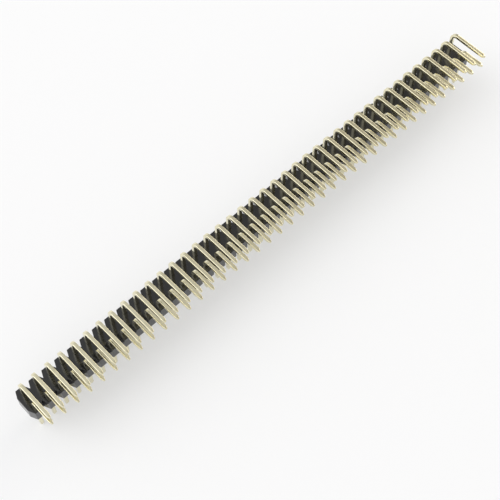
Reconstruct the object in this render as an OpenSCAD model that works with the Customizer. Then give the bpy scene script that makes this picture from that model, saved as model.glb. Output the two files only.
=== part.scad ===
// Right-angle male pin header strip, two rows on one common pitch.
// One moulded insulator carries a row pair of bent square contacts at each position.
// The mating pins point down, the solder tails leave the back and bend over one long side.
// Frame: X along the strip, -Y towards the circuit board, +Z away from the mating connector.
// Origin: centre of the pin grid in the insulator's mating face. Units: millimetres.

/* [Grid] */
// Number of positions along the strip, each with one contact in each row
positions = 40; // [2:1:40]
// Distance between neighbouring positions and between the two rows
pitch = 2.54; // [2.2:0.02:2.8]

/* [Insulator] */
// Distance from the mating face to the back face, from which the tails leave
body_t = 2.54; // [2:0.02:4]
// Plastic from each row's pin axis to the outer side face next to it
side_wall = 1.27; // [1:0.01:1.6]
// Width of each break notch at its mouth
notch_w = 1.1; // [0.4:0.02:1.3]
// Depth of each break notch from the side face
notch_d = 1.2; // [0.4:0.05:1.5]

/* [Contacts] */
// Side of the square contact wire
pin_w = 0.64; // [0.5:0.01:0.8]
// Gap left round a contact in its hole, none where the contact is pressed in
hole_gap = 0; // [0:0.005:0.05]
// Length of the mating pins below the mating face
mating_l = 5.2; // [4:0.1:12]
// Length of the taper at the mating tip
tip_taper_l = 0.6; // [0.3:0.05:1.2]
// Side of the flat left at the mating tip
tip_flat = 0.3; // [0.15:0.01:0.4]

/* [Solder tails] */
// Height of the lower row's tail axis above the back face
lower_tail_h = 1.5; // [1.2:0.05:3]
// Distance between the tail axes of the two rows, which is the board's hole row spacing
tail_row_gap = 2.54; // [2.2:0.02:2.8]
// Reach of both rows' tails beyond the side face that sits on the board
tail_reach = 3.7; // [1.5:0.1:6]
// Inside radius of each bend
bend_r = 0.7; // [0.2:0.05:0.8]
// Length of the taper at the tail's end
tail_taper_l = 0.6; // [0.1:0.05:1]
// Side of the flat left at the tail's end
tail_flat = 0.3; // [0.15:0.01:0.48]

/* [Hidden] */
// Node of the contacts at one position, counted from the -X end of the strip
function pair_name(position) = str("contact_pair_", position < 10 ? "0" : "", position);

strip_l = positions * pitch;
strip_w = pitch + 2 * side_wall;
upper_row_y = pitch / 2;
lower_row_y = -pitch / 2;
board_face_y = -strip_w / 2;
upper_tail_h = lower_tail_h + tail_row_gap;
// Distance from the inside of a bend's centre to the contact's axis
bend_axis_r = bend_r + pin_w / 2;
// Overshoot of a cutting shape past the face that it opens
cut = 0.5;

// Place along the strip of one position
function position_x(position) = (position - (positions + 1) / 2) * pitch;

// Half of a diamond that leaves one V notch in a side face, its mouth widened past the face
module notch_outline() {
    past_face = cut * notch_w / notch_d;
    polygon([
        [0, -notch_d],
        [notch_w / 2 + past_face / 2, cut],
        [-notch_w / 2 - past_face / 2, cut]
    ]);
}

module strip_outline() {
    difference() {
        square([strip_l, strip_w], center = true);
        for (boundary = [0:positions], side = [0, 180])
            rotate(side)
                translate([boundary * pitch - strip_l / 2, strip_w / 2])
                    notch_outline();
    }
}

module hole_outlines() {
    for (position = [1:positions], row_y = [lower_row_y, upper_row_y])
        translate([position_x(position), row_y])
            square(pin_w + 2 * hole_gap, center = true);
}

// Side view of a square bar that starts at the origin and tapers to a flat at its far end
module bar_outline(length, taper_l, flat_w) {
    polygon([
        [-pin_w / 2, 0],
        [pin_w / 2, 0],
        [pin_w / 2, length - taper_l],
        [flat_w / 2, length],
        [-flat_w / 2, length],
        [-pin_w / 2, length - taper_l]
    ]);
}

// Square bar along +Z, tapered on all four sides at its far end
module tapered_bar(length, taper_l, flat_w) {
    intersection() {
        rotate([90, 0, 0])
            linear_extrude(pin_w, center = true)
                bar_outline(length, taper_l, flat_w);
        rotate([90, 0, 90])
            linear_extrude(pin_w, center = true)
                bar_outline(length, taper_l, flat_w);
    }
}

// Quarter bend from a bar along -Z to a bar along -Y, its centre at the origin
module bend() {
    rotate([90, 0, 90])
        rotate_extrude(angle = 90, $fn = 48)
            translate([bend_r, -pin_w / 2])
                square(pin_w);
}

// One contact: straight mating pin, bend and tail, with its row at row_y
module contact(row_y, tail_h) {
    bend_y = row_y - bend_axis_r;
    bend_z = body_t + tail_h - bend_axis_r;
    tail_l = bend_y - board_face_y + tail_reach;
    union() {
        translate([0, row_y, bend_z])
            rotate([180, 0, 0])
                tapered_bar(bend_z + mating_l, tip_taper_l, tip_flat);
        translate([0, bend_y, bend_z])
            bend();
        translate([0, bend_y, bend_z + bend_axis_r])
            rotate([90, 0, 0])
                tapered_bar(tail_l, tail_taper_l, tail_flat);
    }
}

module insulator() {
    color([0.06, 0.06, 0.065])
        linear_extrude(body_t)
            difference() {
                strip_outline();
                hole_outlines();
            }
}

// The upper and lower row contacts of one position, two separate pieces
module contact_pair(position) {
    color([0.8, 0.75, 0.6])
        translate([position_x(position), 0, 0]) {
            contact(upper_row_y, upper_tail_h);
            contact(lower_row_y, lower_tail_h);
        }
}

insulator();
for (position = [1:positions])
    contact_pair(position);
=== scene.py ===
# %% [markdown]
# # A right-angle pin header strip
#
# The strip is one black moulded bar with eighty bent pins pressed into it, two at each position. It stands
# on its straight mating pins, so the bent solder tails lie on top, side by side like the teeth of a comb.
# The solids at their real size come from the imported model. This lesson dresses them: it models the wire and
# the moulding again with the small radii that catch the light, and gives both their finish.

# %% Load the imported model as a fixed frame
import math

import bpy
from mathutils import Matrix, Quaternion, Vector


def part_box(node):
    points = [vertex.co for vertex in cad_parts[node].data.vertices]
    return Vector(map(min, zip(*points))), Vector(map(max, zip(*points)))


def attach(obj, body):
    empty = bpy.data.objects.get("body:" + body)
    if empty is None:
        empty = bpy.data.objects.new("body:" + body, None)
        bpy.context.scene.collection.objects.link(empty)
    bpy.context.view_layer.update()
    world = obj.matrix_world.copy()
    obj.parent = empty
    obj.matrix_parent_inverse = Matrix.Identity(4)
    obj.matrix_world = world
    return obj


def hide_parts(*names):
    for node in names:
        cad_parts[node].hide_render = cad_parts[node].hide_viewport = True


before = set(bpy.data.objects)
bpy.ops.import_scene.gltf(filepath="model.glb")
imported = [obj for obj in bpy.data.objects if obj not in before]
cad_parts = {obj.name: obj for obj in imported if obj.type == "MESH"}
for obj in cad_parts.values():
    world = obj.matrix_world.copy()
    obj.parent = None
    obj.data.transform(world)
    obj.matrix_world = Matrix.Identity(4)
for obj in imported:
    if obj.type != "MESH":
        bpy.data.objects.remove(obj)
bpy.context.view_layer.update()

# %% [markdown]
# ## Sizes
#
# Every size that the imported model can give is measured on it: the wire, the pitch, the rows, the heights.
# Only what a box can't tell is written here, such as the bend radius and the small radii on the edges.
# Blender works in metres, so one named unit keeps the numbers readable.

# %% Read the sizes from the frame
MM = 0.001
pair_names = sorted(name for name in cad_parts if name.startswith("contact_pair_"))
body_low, body_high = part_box("insulator")
first_low, first_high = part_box(pair_names[0])
second_low, second_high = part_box(pair_names[1])

wire = first_high.x - first_low.x
pitch = second_low.x - first_low.x
first_x = (first_low.x + first_high.x) / 2
upper_row_y = first_high.y - wire / 2
lower_row_y = upper_row_y - pitch
upper_tail_z = first_high.z - wire / 2
lower_tail_z = upper_tail_z - pitch
tail_end_y = first_low.y
tip_z = first_low.z

bend_inside_r = 0.7 * MM
bend_axis_r = bend_inside_r + wire / 2
tip_taper = 0.6 * MM
tip_flat = 0.3 * MM
tail_taper = 0.6 * MM
tail_flat = 0.3 * MM
notch_mouth = 1.1 * MM
notch_depth = 1.2 * MM
print("wire", round(wire / MM, 3), "pitch", round(pitch / MM, 3), "positions", len(pair_names))

# %% [markdown]
# ## Camera
#
# The strip is seen from high above its near end, with a long lens from close by, so that the near blocks are
# seen almost from straight above and the far ones well from the side. The camera comes before the pieces,
# because it tells how fine their details have to be. It aims at a point on top of the moulding.

# %% Place the camera
camera_azimuth = math.radians(-43.79)
camera_elevation = math.radians(60.54)
camera_roll = math.radians(0.21)
camera_distance = 182.2 * MM
camera_lens = 79.26
camera_sensor = 36
nearest_drawn = 1 * MM
farthest_drawn = 5
aim = Vector((-6.72 * MM, -4.28 * MM, body_high.z))
away = Vector((
    math.sin(camera_azimuth) * math.cos(camera_elevation),
    -math.cos(camera_azimuth) * math.cos(camera_elevation),
    math.sin(camera_elevation),
))
bpy.ops.object.camera_add(location=aim + away * camera_distance)
camera = bpy.context.object
camera.name = "camera"
camera.rotation_mode = "QUATERNION"
level = (-away).to_track_quat("-Z", "Y")
camera.rotation_quaternion = level @ Quaternion((0, 0, 1), camera_roll)
camera.data.sensor_width = camera_sensor
camera.data.lens = camera_lens
camera.data.clip_start = nearest_drawn
camera.data.clip_end = farthest_drawn
bpy.context.scene.camera = camera
print("camera at mm:", [round(part / MM, 1) for part in camera.location])

# %% [markdown]
# ## Helpers for working by hand
#
# The operators act on whatever is selected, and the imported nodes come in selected. So each piece starts from
# an empty selection, and these few helpers keep that in one place.

# %% Selection helpers
def deselect_all():
    if bpy.context.object and bpy.context.object.mode != "OBJECT":
        bpy.ops.object.mode_set(mode="OBJECT")
    bpy.ops.object.select_all(action="DESELECT")


def make_active(piece):
    deselect_all()
    piece.select_set(True)
    bpy.context.view_layer.objects.active = piece


def apply_modifier(piece, kind, **settings):
    make_active(piece)
    bpy.ops.object.modifier_add(type=kind)
    modifier = piece.modifiers[-1]
    for key, value in settings.items():
        setattr(modifier, key, value)
    bpy.ops.object.modifier_apply(modifier=modifier.name)


def count_faces(piece):
    return len(piece.data.polygons)


# %% [markdown]
# ## The wire
#
# A contact is drawn square wire: cut to length, its ends pointed a little, and bent once over a round
# former. It could be a curve with a square bevel, but then the ends and the corner radius come out soft.
# Here a square of edges is drawn along the path as on the bending machine: extruded up the leg, spun round
# the bend and extruded along the tail. The corners of the wire are rounded last, because the light line
# along each tail is that rounding.

# %% Draw square wire
wire_corner_r = 0.09 * MM
corner_segments = 3
corner_angle = math.radians(40)
smooth_angle = math.radians(30)
bend_steps = 14
square_sides = 4
merge_gap = wire / 1000


def wire_section(x, row_y):
    """A square of four edges at the tip of the mating pin."""
    deselect_all()
    bpy.ops.mesh.primitive_plane_add(size=wire, location=(x, row_y, tip_z))
    piece = bpy.context.object
    bpy.ops.object.mode_set(mode="EDIT")
    bpy.ops.mesh.delete(type="ONLY_FACE")
    bpy.ops.mesh.select_all(action="SELECT")
    return piece


def draw_wire(direction, length):
    step = tuple(length * part for part in direction)
    bpy.ops.mesh.extrude_edges_move(TRANSFORM_OT_translate={"value": step})


def close_ends():
    """Merges doubles, closes both square ends and turns the faces outwards."""
    bpy.ops.mesh.select_all(action="SELECT")
    bpy.ops.mesh.remove_doubles(threshold=merge_gap)
    bpy.ops.mesh.fill_holes(sides=square_sides)
    bpy.ops.mesh.select_all(action="SELECT")
    bpy.ops.mesh.normals_make_consistent(inside=False)


# %% Model one contact
def contact(name, x, row_y, tail_z):
    piece = wire_section(x, row_y)
    piece.name = name
    up, out = (0, 0, 1), (0, -1, 0)
    bend_y = row_y - bend_axis_r
    bend_z = tail_z - bend_axis_r
    narrow = tip_flat / wire
    bpy.ops.transform.resize(value=(narrow, narrow, 1))
    draw_wire(up, tip_taper)
    bpy.ops.transform.resize(value=(1 / narrow, 1 / narrow, 1))
    draw_wire(up, bend_z - tip_z - tip_taper)
    bpy.ops.mesh.spin(
        steps=bend_steps, angle=math.pi / 2, center=(x, bend_y, bend_z), axis=(-1, 0, 0)
    )
    draw_wire(out, bend_y - tail_end_y - tail_taper)
    draw_wire(out, tail_taper)
    narrow = tail_flat / wire
    bpy.ops.transform.resize(value=(narrow, 1, narrow))
    close_ends()
    bpy.ops.object.mode_set(mode="OBJECT")
    bpy.ops.object.transform_apply(location=True, rotation=True, scale=True)
    apply_modifier(
        piece, "BEVEL", width=wire_corner_r, segments=corner_segments,
        limit_method="ANGLE", angle_limit=corner_angle,
    )
    bpy.ops.object.shade_smooth_by_angle(angle=smooth_angle)
    apply_modifier(piece, "WEIGHTED_NORMAL", keep_sharp=True)
    return piece


upper_first = contact("contact_01_upper", first_x, upper_row_y, upper_tail_z)
lower_first = contact("contact_01_lower", first_x, lower_row_y, lower_tail_z)
print("faces of a contact:", count_faces(upper_first))

# %% [markdown]
# ## Forty pairs
#
# All upper contacts are alike, and so are all lower ones. One of each is modelled, and every position gets
# its own copy of the mesh, moved along by whole pitches. Each copy stands for its packed pair.

# %% Copy the contacts along the strip
def copy_along(piece, name, shift):
    twin = piece.copy()
    twin.data = piece.data.copy()
    twin.data.transform(Matrix.Translation((shift, 0, 0)))
    twin.name = name
    bpy.context.scene.collection.objects.link(twin)
    return twin


contacts = []
for index, pair in enumerate(pair_names):
    number = pair[-2:]
    if index == 0:
        both = [upper_first, lower_first]
    else:
        both = [
            copy_along(upper_first, "contact_" + number + "_upper", index * pitch),
            copy_along(lower_first, "contact_" + number + "_lower", index * pitch),
        ]
    for piece in both:
        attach(piece, "root")
        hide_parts(pair)
    contacts += both
print("contacts:", len(contacts))

# %% [markdown]
# ## The moulding
#
# The insulator is one bar whose blocks hang together by thin webs, so that it can be snapped to length. One
# block is a cube with its four corners cut away by slanted planes, which leaves half a notch at each corner,
# and two square holes for the wire. It could be cut from the whole bar with eighty-two notch cutters, but a
# single block is easier to get right. Its web faces are taken off, and an array sets forty blocks in a row
# and welds them. A last small bevel gives all edges the radius that moulded plastic has.

# %% Model one block of the moulding
block_x = body_low.x + pitch / 2
body_w = body_high.y - body_low.y
body_t = body_high.z - body_low.z
body_mid_z = (body_low.z + body_high.z) / 2


def box_mesh(name, size, place):
    deselect_all()
    bpy.ops.mesh.primitive_cube_add(size=1, location=place)
    piece = bpy.context.object
    piece.name = name
    piece.scale = size
    bpy.ops.object.transform_apply(location=True, rotation=True, scale=True)
    return piece


def cut_corner(side_x, side_y):
    """Cuts one corner off the block, from the notch's mouth to its bottom."""
    mouth = Vector((block_x + side_x * (pitch - notch_mouth) / 2, side_y * body_w / 2, 0))
    bottom = Vector((block_x + side_x * pitch / 2, side_y * (body_w / 2 - notch_depth), 0))
    outward = Vector((side_x * notch_depth, side_y * notch_mouth / 2, 0)).normalized()
    bpy.ops.mesh.select_all(action="SELECT")
    bpy.ops.mesh.bisect(
        plane_co=(mouth + bottom) / 2, plane_no=outward, use_fill=True, clear_outer=True
    )


moulding = box_mesh("insulator_moulding", (pitch, body_w, body_t), (block_x, 0, body_mid_z))
bpy.ops.object.mode_set(mode="EDIT")
for side_x in (-1, 1):
    for side_y in (-1, 1):
        cut_corner(side_x, side_y)
bpy.ops.mesh.select_all(action="SELECT")
bpy.ops.mesh.normals_make_consistent(inside=False)
bpy.ops.object.mode_set(mode="OBJECT")
print("faces of a block:", count_faces(moulding))

# %% Cut the two square holes
for row_y in (upper_row_y, lower_row_y):
    cutter = box_mesh("hole_cutter", (wire, wire, 2 * body_t), (block_x, row_y, body_mid_z))
    apply_modifier(moulding, "BOOLEAN", object=cutter, operation="DIFFERENCE", solver="EXACT")
    bpy.data.objects.remove(cutter)
print("faces with holes:", count_faces(moulding))

# %% Repeat the block and weld the strip
web_edge = pitch / 2 - 0.01 * MM
weld_gap = 0.001 * MM
most_web_edges = 8
make_active(moulding)
bpy.ops.object.mode_set(mode="EDIT")
bpy.ops.mesh.select_mode(type="FACE")
bpy.ops.mesh.select_all(action="DESELECT")
bpy.ops.object.mode_set(mode="OBJECT")
for face in moulding.data.polygons:
    face.select = abs(face.center.x - block_x) > web_edge
bpy.ops.object.mode_set(mode="EDIT")
bpy.ops.mesh.delete(type="FACE")
bpy.ops.mesh.select_mode(type="VERT")
bpy.ops.object.mode_set(mode="OBJECT")
apply_modifier(
    moulding, "ARRAY", count=len(pair_names), use_relative_offset=False,
    use_constant_offset=True, constant_offset_displace=(pitch, 0, 0),
    use_merge_vertices=True, merge_threshold=weld_gap,
)
bpy.ops.object.mode_set(mode="EDIT")
bpy.ops.mesh.select_all(action="SELECT")
bpy.ops.mesh.fill_holes(sides=most_web_edges)
bpy.ops.mesh.select_all(action="SELECT")
bpy.ops.mesh.normals_make_consistent(inside=False)
bpy.ops.object.mode_set(mode="OBJECT")
print("faces of the welded strip:", count_faces(moulding))

# %% Round the edges of the moulding
moulded_edge_r = 0.06 * MM
edge_segments = 2
edge_angle = math.radians(20)
apply_modifier(
    moulding, "BEVEL", width=moulded_edge_r, segments=edge_segments,
    limit_method="ANGLE", angle_limit=edge_angle,
)
bpy.ops.object.shade_smooth_by_angle(angle=smooth_angle)
apply_modifier(moulding, "WEIGHTED_NORMAL", keep_sharp=True)
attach(moulding, "root")
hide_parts("insulator")
print("faces of the moulding:", count_faces(moulding))

# %% [markdown]
# ## Helpers for the finishes
#
# A finish is a small tree of nodes, which could be wired by hand in the shader editor. The same few groups
# come back in each: noise on the piece's own coordinates, a colour or a value between two ends, and a bump.
# They are written once here, so that each finish below stays a few lines.

# %% Node helpers
noise_low = 0.3
noise_high = 0.7


def new_material(name):
    material = bpy.data.materials.new(name)
    material.use_nodes = True
    tree = material.node_tree
    tree.nodes.clear()
    output = tree.nodes.new("ShaderNodeOutputMaterial")
    shader = tree.nodes.new("ShaderNodeBsdfPrincipled")
    tree.links.new(shader.outputs["BSDF"], output.inputs["Surface"])
    return material, tree, shader


def noise(tree, scale, detail=3, stretch=(1, 1, 1)):
    """Noise on Object coordinates, stretched by a Mapping node. Gives its Fac output."""
    place = tree.nodes.new("ShaderNodeTexCoord")
    mapping = tree.nodes.new("ShaderNodeMapping")
    mapping.inputs["Scale"].default_value = stretch
    texture = tree.nodes.new("ShaderNodeTexNoise")
    texture.inputs["Scale"].default_value = scale
    texture.inputs["Detail"].default_value = detail
    tree.links.new(place.outputs["Object"], mapping.inputs["Vector"])
    tree.links.new(mapping.outputs["Vector"], texture.inputs["Vector"])
    return texture.outputs["Fac"]


def colour_between(tree, factor, dark, light, low=noise_low, high=noise_high):
    """The colour dark where the factor is low, light where it is high, and blended in between."""
    ramp = tree.nodes.new("ShaderNodeValToRGB")
    ramp.color_ramp.elements[0].position = low
    ramp.color_ramp.elements[0].color = (*dark, 1)
    ramp.color_ramp.elements[1].position = high
    ramp.color_ramp.elements[1].color = (*light, 1)
    tree.links.new(factor, ramp.inputs["Fac"])
    return ramp.outputs["Color"]


def value_between(tree, factor, low, high):
    """A value that runs from low to high as noise does."""
    spread = tree.nodes.new("ShaderNodeMapRange")
    spread.inputs["From Min"].default_value = noise_low
    spread.inputs["From Max"].default_value = noise_high
    spread.inputs["To Min"].default_value = low
    spread.inputs["To Max"].default_value = high
    tree.links.new(factor, spread.inputs["Value"])
    return spread.outputs["Result"]


def bump(tree, factor, strength, depth):
    lift = tree.nodes.new("ShaderNodeBump")
    lift.inputs["Strength"].default_value = strength
    lift.inputs["Distance"].default_value = depth
    tree.links.new(factor, lift.inputs["Height"])
    return lift.outputs["Normal"]


# %% [markdown]
# ## Plated wire
#
# The wire is brass with a thin bright plating, pale and a little warm. A plated metal is a mirror with a
# tint, so nearly all of its look is what it reflects. Its own detail is small: the plating is a touch
# thicker here and there, and drawing left the finest lines along the wire. Both could be painted, but noise
# on the wire's own coordinates needs no picture and never repeats.

# %% Plated wire finish
plating_dark = (0.80, 0.75, 0.53)
plating_light = (0.88, 0.83, 0.62)
plating_roughness = (0.09, 0.16)
cloud_scale = 700
line_scale = 9000
line_stretch = (1, 0.06, 1)
line_depth = 0.01 * MM
plating, tree, shader = new_material("pale_plating")
shader.inputs["Metallic"].default_value = 1
cloudy = noise(tree, cloud_scale, detail=4)
drawn_lines = noise(tree, line_scale, detail=2, stretch=line_stretch)
colour = colour_between(tree, cloudy, plating_dark, plating_light)
roughness = value_between(tree, cloudy, *plating_roughness)
tree.links.new(colour, shader.inputs["Base Color"])
tree.links.new(roughness, shader.inputs["Roughness"])
tree.links.new(bump(tree, drawn_lines, strength=0.03, depth=line_depth), shader.inputs["Normal"])
for piece in contacts:
    piece.data.materials.clear()
    piece.data.materials.append(plating)
print("plated contacts:", len(contacts))

# %% [markdown]
# ## Black moulded plastic
#
# Glass-filled plastic from a smooth mould: nearly black, a little uneven in colour and sheen, with a fine
# grain that softens the reflections. Seen from above it stays black. At a glancing angle it picks up the
# pale surroundings, so the side walls look grey. A grey painted on them would do that for one view only,
# but the shader's own reflection does it from everywhere.

# %% Moulded plastic finish
plastic_dark = (0.003, 0.0035, 0.004)
plastic_light = (0.006, 0.0065, 0.007)
plastic_roughness = (0.12, 0.18)
plastic_ior = 1.65
patch_scale = 350
grain_scale = 14000
grain_depth = 0.006 * MM
plastic, tree, shader = new_material("black_moulded_plastic")
shader.inputs["IOR"].default_value = plastic_ior
patches = noise(tree, patch_scale, detail=5)
grain = noise(tree, grain_scale, detail=3)
colour = colour_between(tree, patches, plastic_dark, plastic_light)
roughness = value_between(tree, patches, *plastic_roughness)
tree.links.new(colour, shader.inputs["Base Color"])
tree.links.new(roughness, shader.inputs["Roughness"])
tree.links.new(bump(tree, grain, strength=0.05, depth=grain_depth), shader.inputs["Normal"])
moulding.data.materials.clear()
moulding.data.materials.append(plastic)
print("moulding finish:", plastic.name)

# %% [markdown]
# ## Table
#
# The strip stands on a plain white table. More light could make it white, but would bleach the strip too.
# So a share of the table's white is its own glow, which only the camera, mirrors and glass see. The rest is
# lit like any surface, and keeps the strip's shadow.

# %% Share of the table's own white
def seen_share(tree, share):
    """The share for rays from the camera, mirrors and glass, and none for light that falls on the object."""
    path = tree.nodes.new("ShaderNodeLightPath")
    either = tree.nodes.new("ShaderNodeMath")
    either.operation = "MAXIMUM"
    any_of = tree.nodes.new("ShaderNodeMath")
    any_of.operation = "MAXIMUM"
    part = tree.nodes.new("ShaderNodeMath")
    part.operation = "MULTIPLY"
    part.inputs[1].default_value = share
    tree.links.new(path.outputs["Is Camera Ray"], either.inputs[0])
    tree.links.new(path.outputs["Is Glossy Ray"], either.inputs[1])
    tree.links.new(either.outputs["Value"], any_of.inputs[0])
    tree.links.new(path.outputs["Is Transmission Ray"], any_of.inputs[1])
    tree.links.new(any_of.outputs["Value"], part.inputs[0])
    return part.outputs["Value"]


# %% Table top
table_side = 3
table_white = (0.93, 0.936, 0.95)
table_roughness = 0.9
table_sheen = 0.1
glow_white = (0.955, 0.961, 0.972)
glow_share = 0.4
deselect_all()
bpy.ops.mesh.primitive_plane_add(size=table_side, location=(0, 0, tip_z))
table = bpy.context.object
table.name = "table"
table_finish, tree, shader = new_material("white_table")
shader.inputs["Base Color"].default_value = (*table_white, 1)
shader.inputs["Roughness"].default_value = table_roughness
shader.inputs["Specular IOR Level"].default_value = table_sheen
glow = tree.nodes.new("ShaderNodeEmission")
glow.inputs["Color"].default_value = (*glow_white, 1)
glow.inputs["Strength"].default_value = 1
seen = seen_share(tree, glow_share)
blend = tree.nodes.new("ShaderNodeMixShader")
output = tree.nodes["Material Output"]
tree.links.new(seen, blend.inputs["Fac"])
tree.links.new(shader.outputs["BSDF"], blend.inputs[1])
tree.links.new(glow.outputs["Emission"], blend.inputs[2])
tree.links.new(blend.outputs["Shader"], output.inputs["Surface"])
table.data.materials.append(table_finish)
print("table top at mm:", round(tip_z / MM, 2))

# %% [markdown]
# ## Softboxes
#
# A softbox is a lamp behind a wide white cloth, so its light is soft and its mirror image is a wide patch.
# Here a white one hangs high on the left behind the strip, and a slightly warm one low on the right. Bare
# bulbs would draw hard dots on the wire. These draw the bright lines along the edges of the tails.

# %% Softboxes
softbox_side = 0.87
softbox_distance = 1


def add_softbox(name, azimuth, elevation, energy, tint=(1, 1, 1)):
    """Square softbox turned towards the strip. Angles in degrees, azimuth counted from +X."""
    turned = math.radians(azimuth)
    raised = math.radians(elevation)
    direction = Vector((
        math.cos(turned) * math.cos(raised),
        math.sin(turned) * math.cos(raised),
        math.sin(raised),
    ))
    bpy.ops.object.light_add(type="AREA", location=direction * softbox_distance)
    box = bpy.context.object
    box.name = name
    box.data.shape = "SQUARE"
    box.data.size = softbox_side
    box.data.energy = energy
    box.data.color = tint
    box.rotation_mode = "QUATERNION"
    box.rotation_quaternion = (-direction).to_track_quat("-Z", "Y")
    print(name, "at m:", [round(part, 2) for part in box.location])


add_softbox("left_softbox", azimuth=150, elevation=50, energy=2.6)
add_softbox("right_softbox", azimuth=0, elevation=25, energy=4.5, tint=(1, 0.96, 0.88))

# %% [markdown]
# ## Room
#
# A polished wire shows its surroundings, so the room isn't one grey: it is white on the left and grows dimmer
# and warmer to the right. The tops of the tails pick that up, from pale at the near end to straw at the far
# end. A picture of a room could do the same. A brightness that slopes with the direction is simpler and
# leaves no image on the wire. Near the horizon the room is pale all round, so that a low view has a pale
# background as well.

# %% Brightness of the room in each direction
room_level = 0.72
room_slopes = (-0.65, 0.14, 0)
# Level near the horizon, and the heights on a sphere of radius 1 up to which it stays and at which it ends
horizon_level = 0.9
horizon_stays_to = 0.2
horizon_ends_at = 0.35
world = bpy.data.worlds.new("room")
bpy.context.scene.world = world
world.use_nodes = True
tree = world.node_tree
tree.nodes.clear()
direction = tree.nodes.new("ShaderNodeTexCoord")
slope = tree.nodes.new("ShaderNodeVectorMath")
slope.operation = "DOT_PRODUCT"
slope.inputs[1].default_value = room_slopes
level = tree.nodes.new("ShaderNodeMath")
level.operation = "ADD"
level.inputs[1].default_value = room_level
height = tree.nodes.new("ShaderNodeSeparateXYZ")
horizon = tree.nodes.new("ShaderNodeMapRange")
horizon.inputs["From Min"].default_value = horizon_stays_to
horizon.inputs["From Max"].default_value = horizon_ends_at
horizon.inputs["To Min"].default_value = horizon_level
horizon.inputs["To Max"].default_value = 0
brighter = tree.nodes.new("ShaderNodeMath")
brighter.operation = "MAXIMUM"
tree.links.new(direction.outputs["Generated"], slope.inputs[0])
tree.links.new(slope.outputs["Value"], level.inputs[0])
tree.links.new(direction.outputs["Generated"], height.inputs["Vector"])
tree.links.new(height.outputs["Z"], horizon.inputs["Value"])
tree.links.new(level.outputs["Value"], brighter.inputs[0])
tree.links.new(horizon.outputs["Result"], brighter.inputs[1])
brightness = brighter.outputs["Value"]

# %% Colour of the room and the view transform
room_warm = (1, 0.92, 0.8)
room_white = (1, 1, 1)
warm_below = 0.35
white_above = 0.62
background = tree.nodes.new("ShaderNodeBackground")
output = tree.nodes.new("ShaderNodeOutputWorld")
colour = colour_between(tree, brightness, room_warm, room_white, low=warm_below, high=white_above)
tree.links.new(colour, background.inputs["Color"])
tree.links.new(brightness, background.inputs["Strength"])
tree.links.new(background.outputs["Background"], output.inputs["Surface"])
bpy.context.scene.view_settings.view_transform = "Standard"
print("room nodes:", len(tree.nodes))
